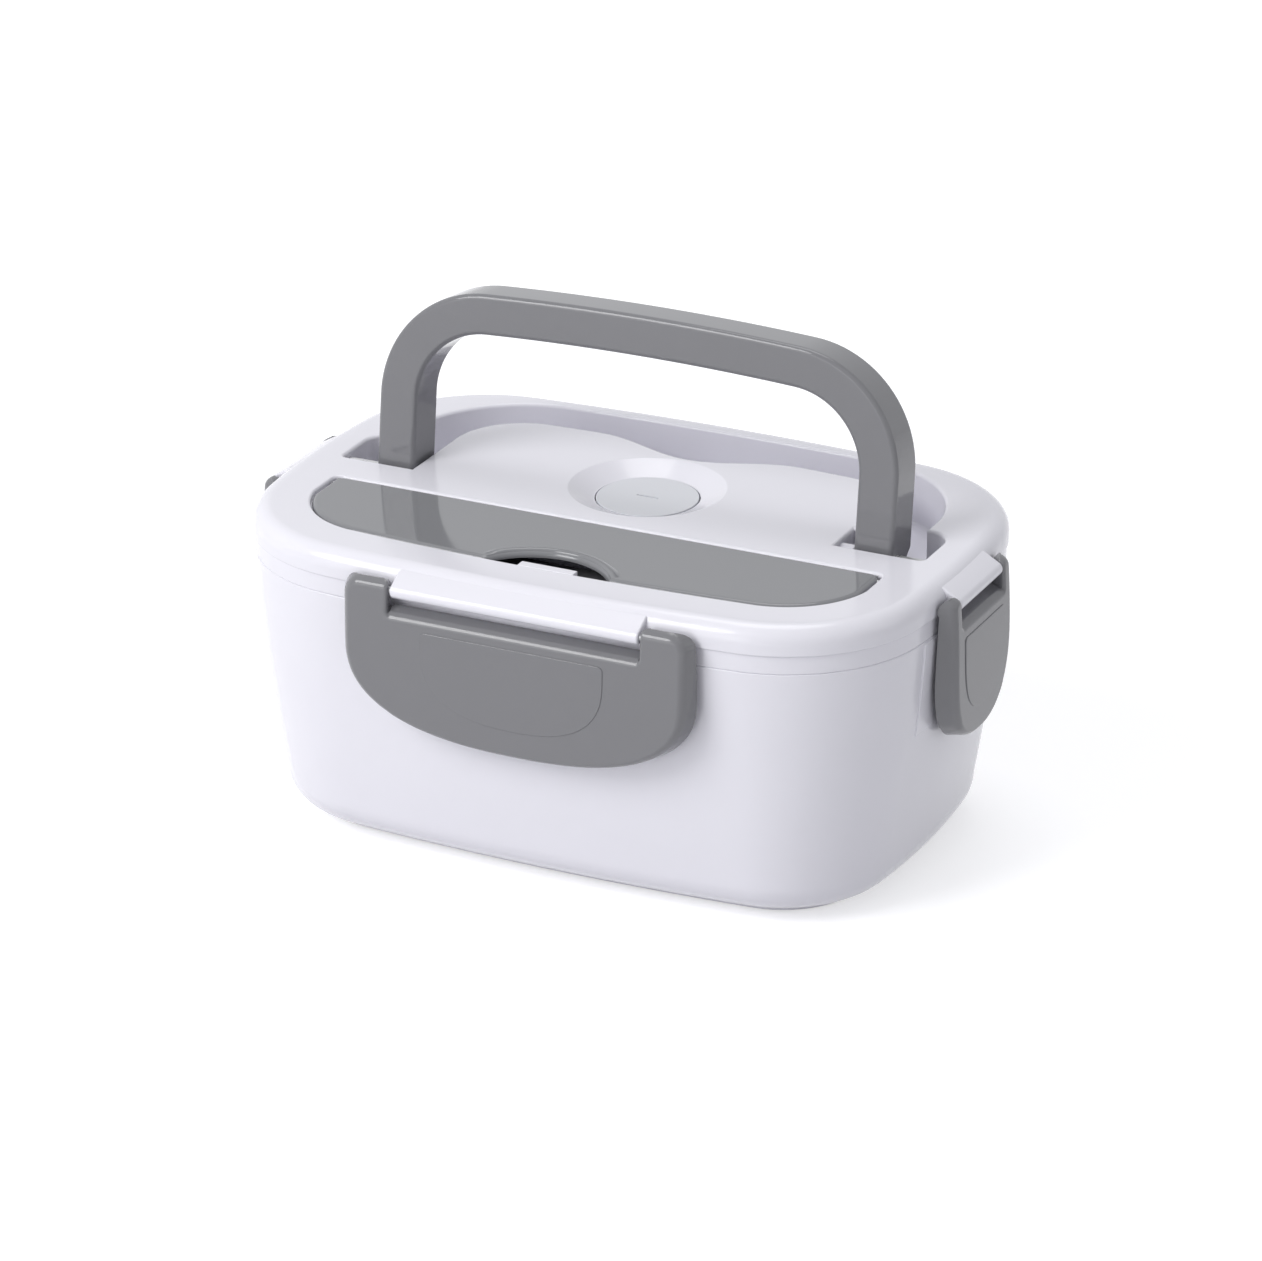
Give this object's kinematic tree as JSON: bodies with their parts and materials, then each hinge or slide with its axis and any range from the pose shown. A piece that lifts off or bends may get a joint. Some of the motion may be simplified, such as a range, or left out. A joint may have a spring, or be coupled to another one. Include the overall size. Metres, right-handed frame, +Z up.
{
  "type": "electric lunch box",
  "caption": "Heated lunch box with a clip-on lid, fold-down carrying handle, covered cutlery well, steam vent, lift-out food tray and side container",
  "frame": {"origin": "middle of the underside, level with the bottom of the rubber feet", "axes": "+X to the right along the long side, +Y to the back where the power inlet is, +Z up"},
  "size_m": [0.2424, 0.1684, 0.1644],
  "materials": {
    "white_plastic": "smooth gloss",
    "grey_plastic": "smooth gloss",
    "steel": "plain bright",
    "stainless_steel": "satin",
    "aluminium_plate": "plain",
    "ceramic": "dry matt ceramic",
    "dark_plastic": "fine matt",
    "brass_contacts": "bright",
    "wire_sleeve": "soft matt",
    "amber_lens": "clear gloss",
    "lamp": "frosted",
    "tray_plastic": "satin",
    "silicone": "soft translucent satin",
    "foot_rubber": "matt"
  },
  "bodies": {
    "base": {"base_shell": "white_plastic", "bottom_cover": "white_plastic", "bottom_screws": "steel", "rubber_feet": "foot_rubber", "heating_basin": "stainless_steel", "heating_plate": "aluminium_plate", "heating_element": "ceramic", "element_clamp": "steel", "clamp_screws": "steel", "thermostat": "dark_plastic", "thermal_fuse": "ceramic", "inlet_housing": "dark_plastic", "inlet_pins": "brass_contacts", "inlet_wires": "wire_sleeve", "indicator_lens": "amber_lens", "indicator_lamp": "lamp"},
    "tray": {"food_tray": "tray_plastic"},
    "container": {"side_container": "white_plastic"},
    "lid": {"lid_top": "white_plastic", "lid_base": "white_plastic", "lid_seal": "silicone", "lid_screws": "steel", "cutlery_cover_pins": "steel", "handle_pins": "steel", "long_latch_pins": "steel", "side_latch_pins": "steel"},
    "handle": {"handle": "grey_plastic"},
    "cover": {"cutlery_cover": "grey_plastic"},
    "spoon": {"spoon": "grey_plastic"},
    "vent": {"vent_plug": "silicone"},
    "front_latch": {"front_latch": "grey_plastic"},
    "rear_latch": {"rear_latch": "grey_plastic"},
    "right_latch": {"right_latch": "grey_plastic"},
    "left_latch": {"left_latch": "grey_plastic"}
  },
  "joints": [
    {"name": "lid_lift", "type": "slide", "parent": "base", "child": "lid", "axis": [0, 0, 1], "range_m": [0, 0.1]},
    {"name": "front_latch_swing", "type": "hinge", "parent": "lid", "child": "front_latch", "pos_m": [0, -0.0804, 0.0972], "axis": [-1, 0, 0], "range_deg": [0, 115]},
    {"name": "rear_latch_swing", "type": "hinge", "parent": "lid", "child": "rear_latch", "pos_m": [0, 0.0804, 0.0972], "axis": [1, 0, 0], "range_deg": [0, 115]},
    {"name": "right_latch_swing", "type": "hinge", "parent": "lid", "child": "right_latch", "pos_m": [0.1174, 0, 0.0972], "axis": [0, -1, 0], "range_deg": [0, 115]},
    {"name": "left_latch_swing", "type": "hinge", "parent": "lid", "child": "left_latch", "pos_m": [-0.1174, 0, 0.0972], "axis": [0, 1, 0], "range_deg": [0, 115]},
    {"name": "tray_lift", "type": "slide", "parent": "base", "child": "tray", "axis": [0, 0, 1], "range_m": [0, 0.055]},
    {"name": "container_lift", "type": "slide", "parent": "tray", "child": "container", "axis": [0, 0, 1], "range_m": [0, 0.04]},
    {"name": "handle_fold", "type": "hinge", "parent": "lid", "child": "handle", "pos_m": [0, 0.002, 0.1], "axis": [-1, 0, 0], "range_deg": [-6.5, 83.5]},
    {"name": "cover_swing", "type": "hinge", "parent": "lid", "child": "cover", "pos_m": [0, -0.0209, 0.102], "axis": [-1, 0, 0], "range_deg": [0, 95]},
    {"name": "spoon_lift", "type": "slide", "parent": "lid", "child": "spoon", "axis": [0, 0, 1], "range_m": [0, 0.018]},
    {"name": "vent_lift", "type": "slide", "parent": "lid", "child": "vent", "axis": [0, 0, 1], "range_m": [0, 0.004]}
  ],
  "couplings": [
    {"joint": "front_latch_swing", "follows": "lid_lift", "rad_per_m": 20.07},
    {"joint": "rear_latch_swing", "follows": "lid_lift", "rad_per_m": 20.07},
    {"joint": "right_latch_swing", "follows": "lid_lift", "rad_per_m": 20.07},
    {"joint": "left_latch_swing", "follows": "lid_lift", "rad_per_m": 20.07},
    {"joint": "tray_lift", "follows": "lid_lift", "ratio": 0.55},
    {"joint": "container_lift", "follows": "lid_lift", "ratio": 0.4},
    {"joint": "spoon_lift", "follows": "cover_swing", "m_per_rad": 0.0108}
  ]
}
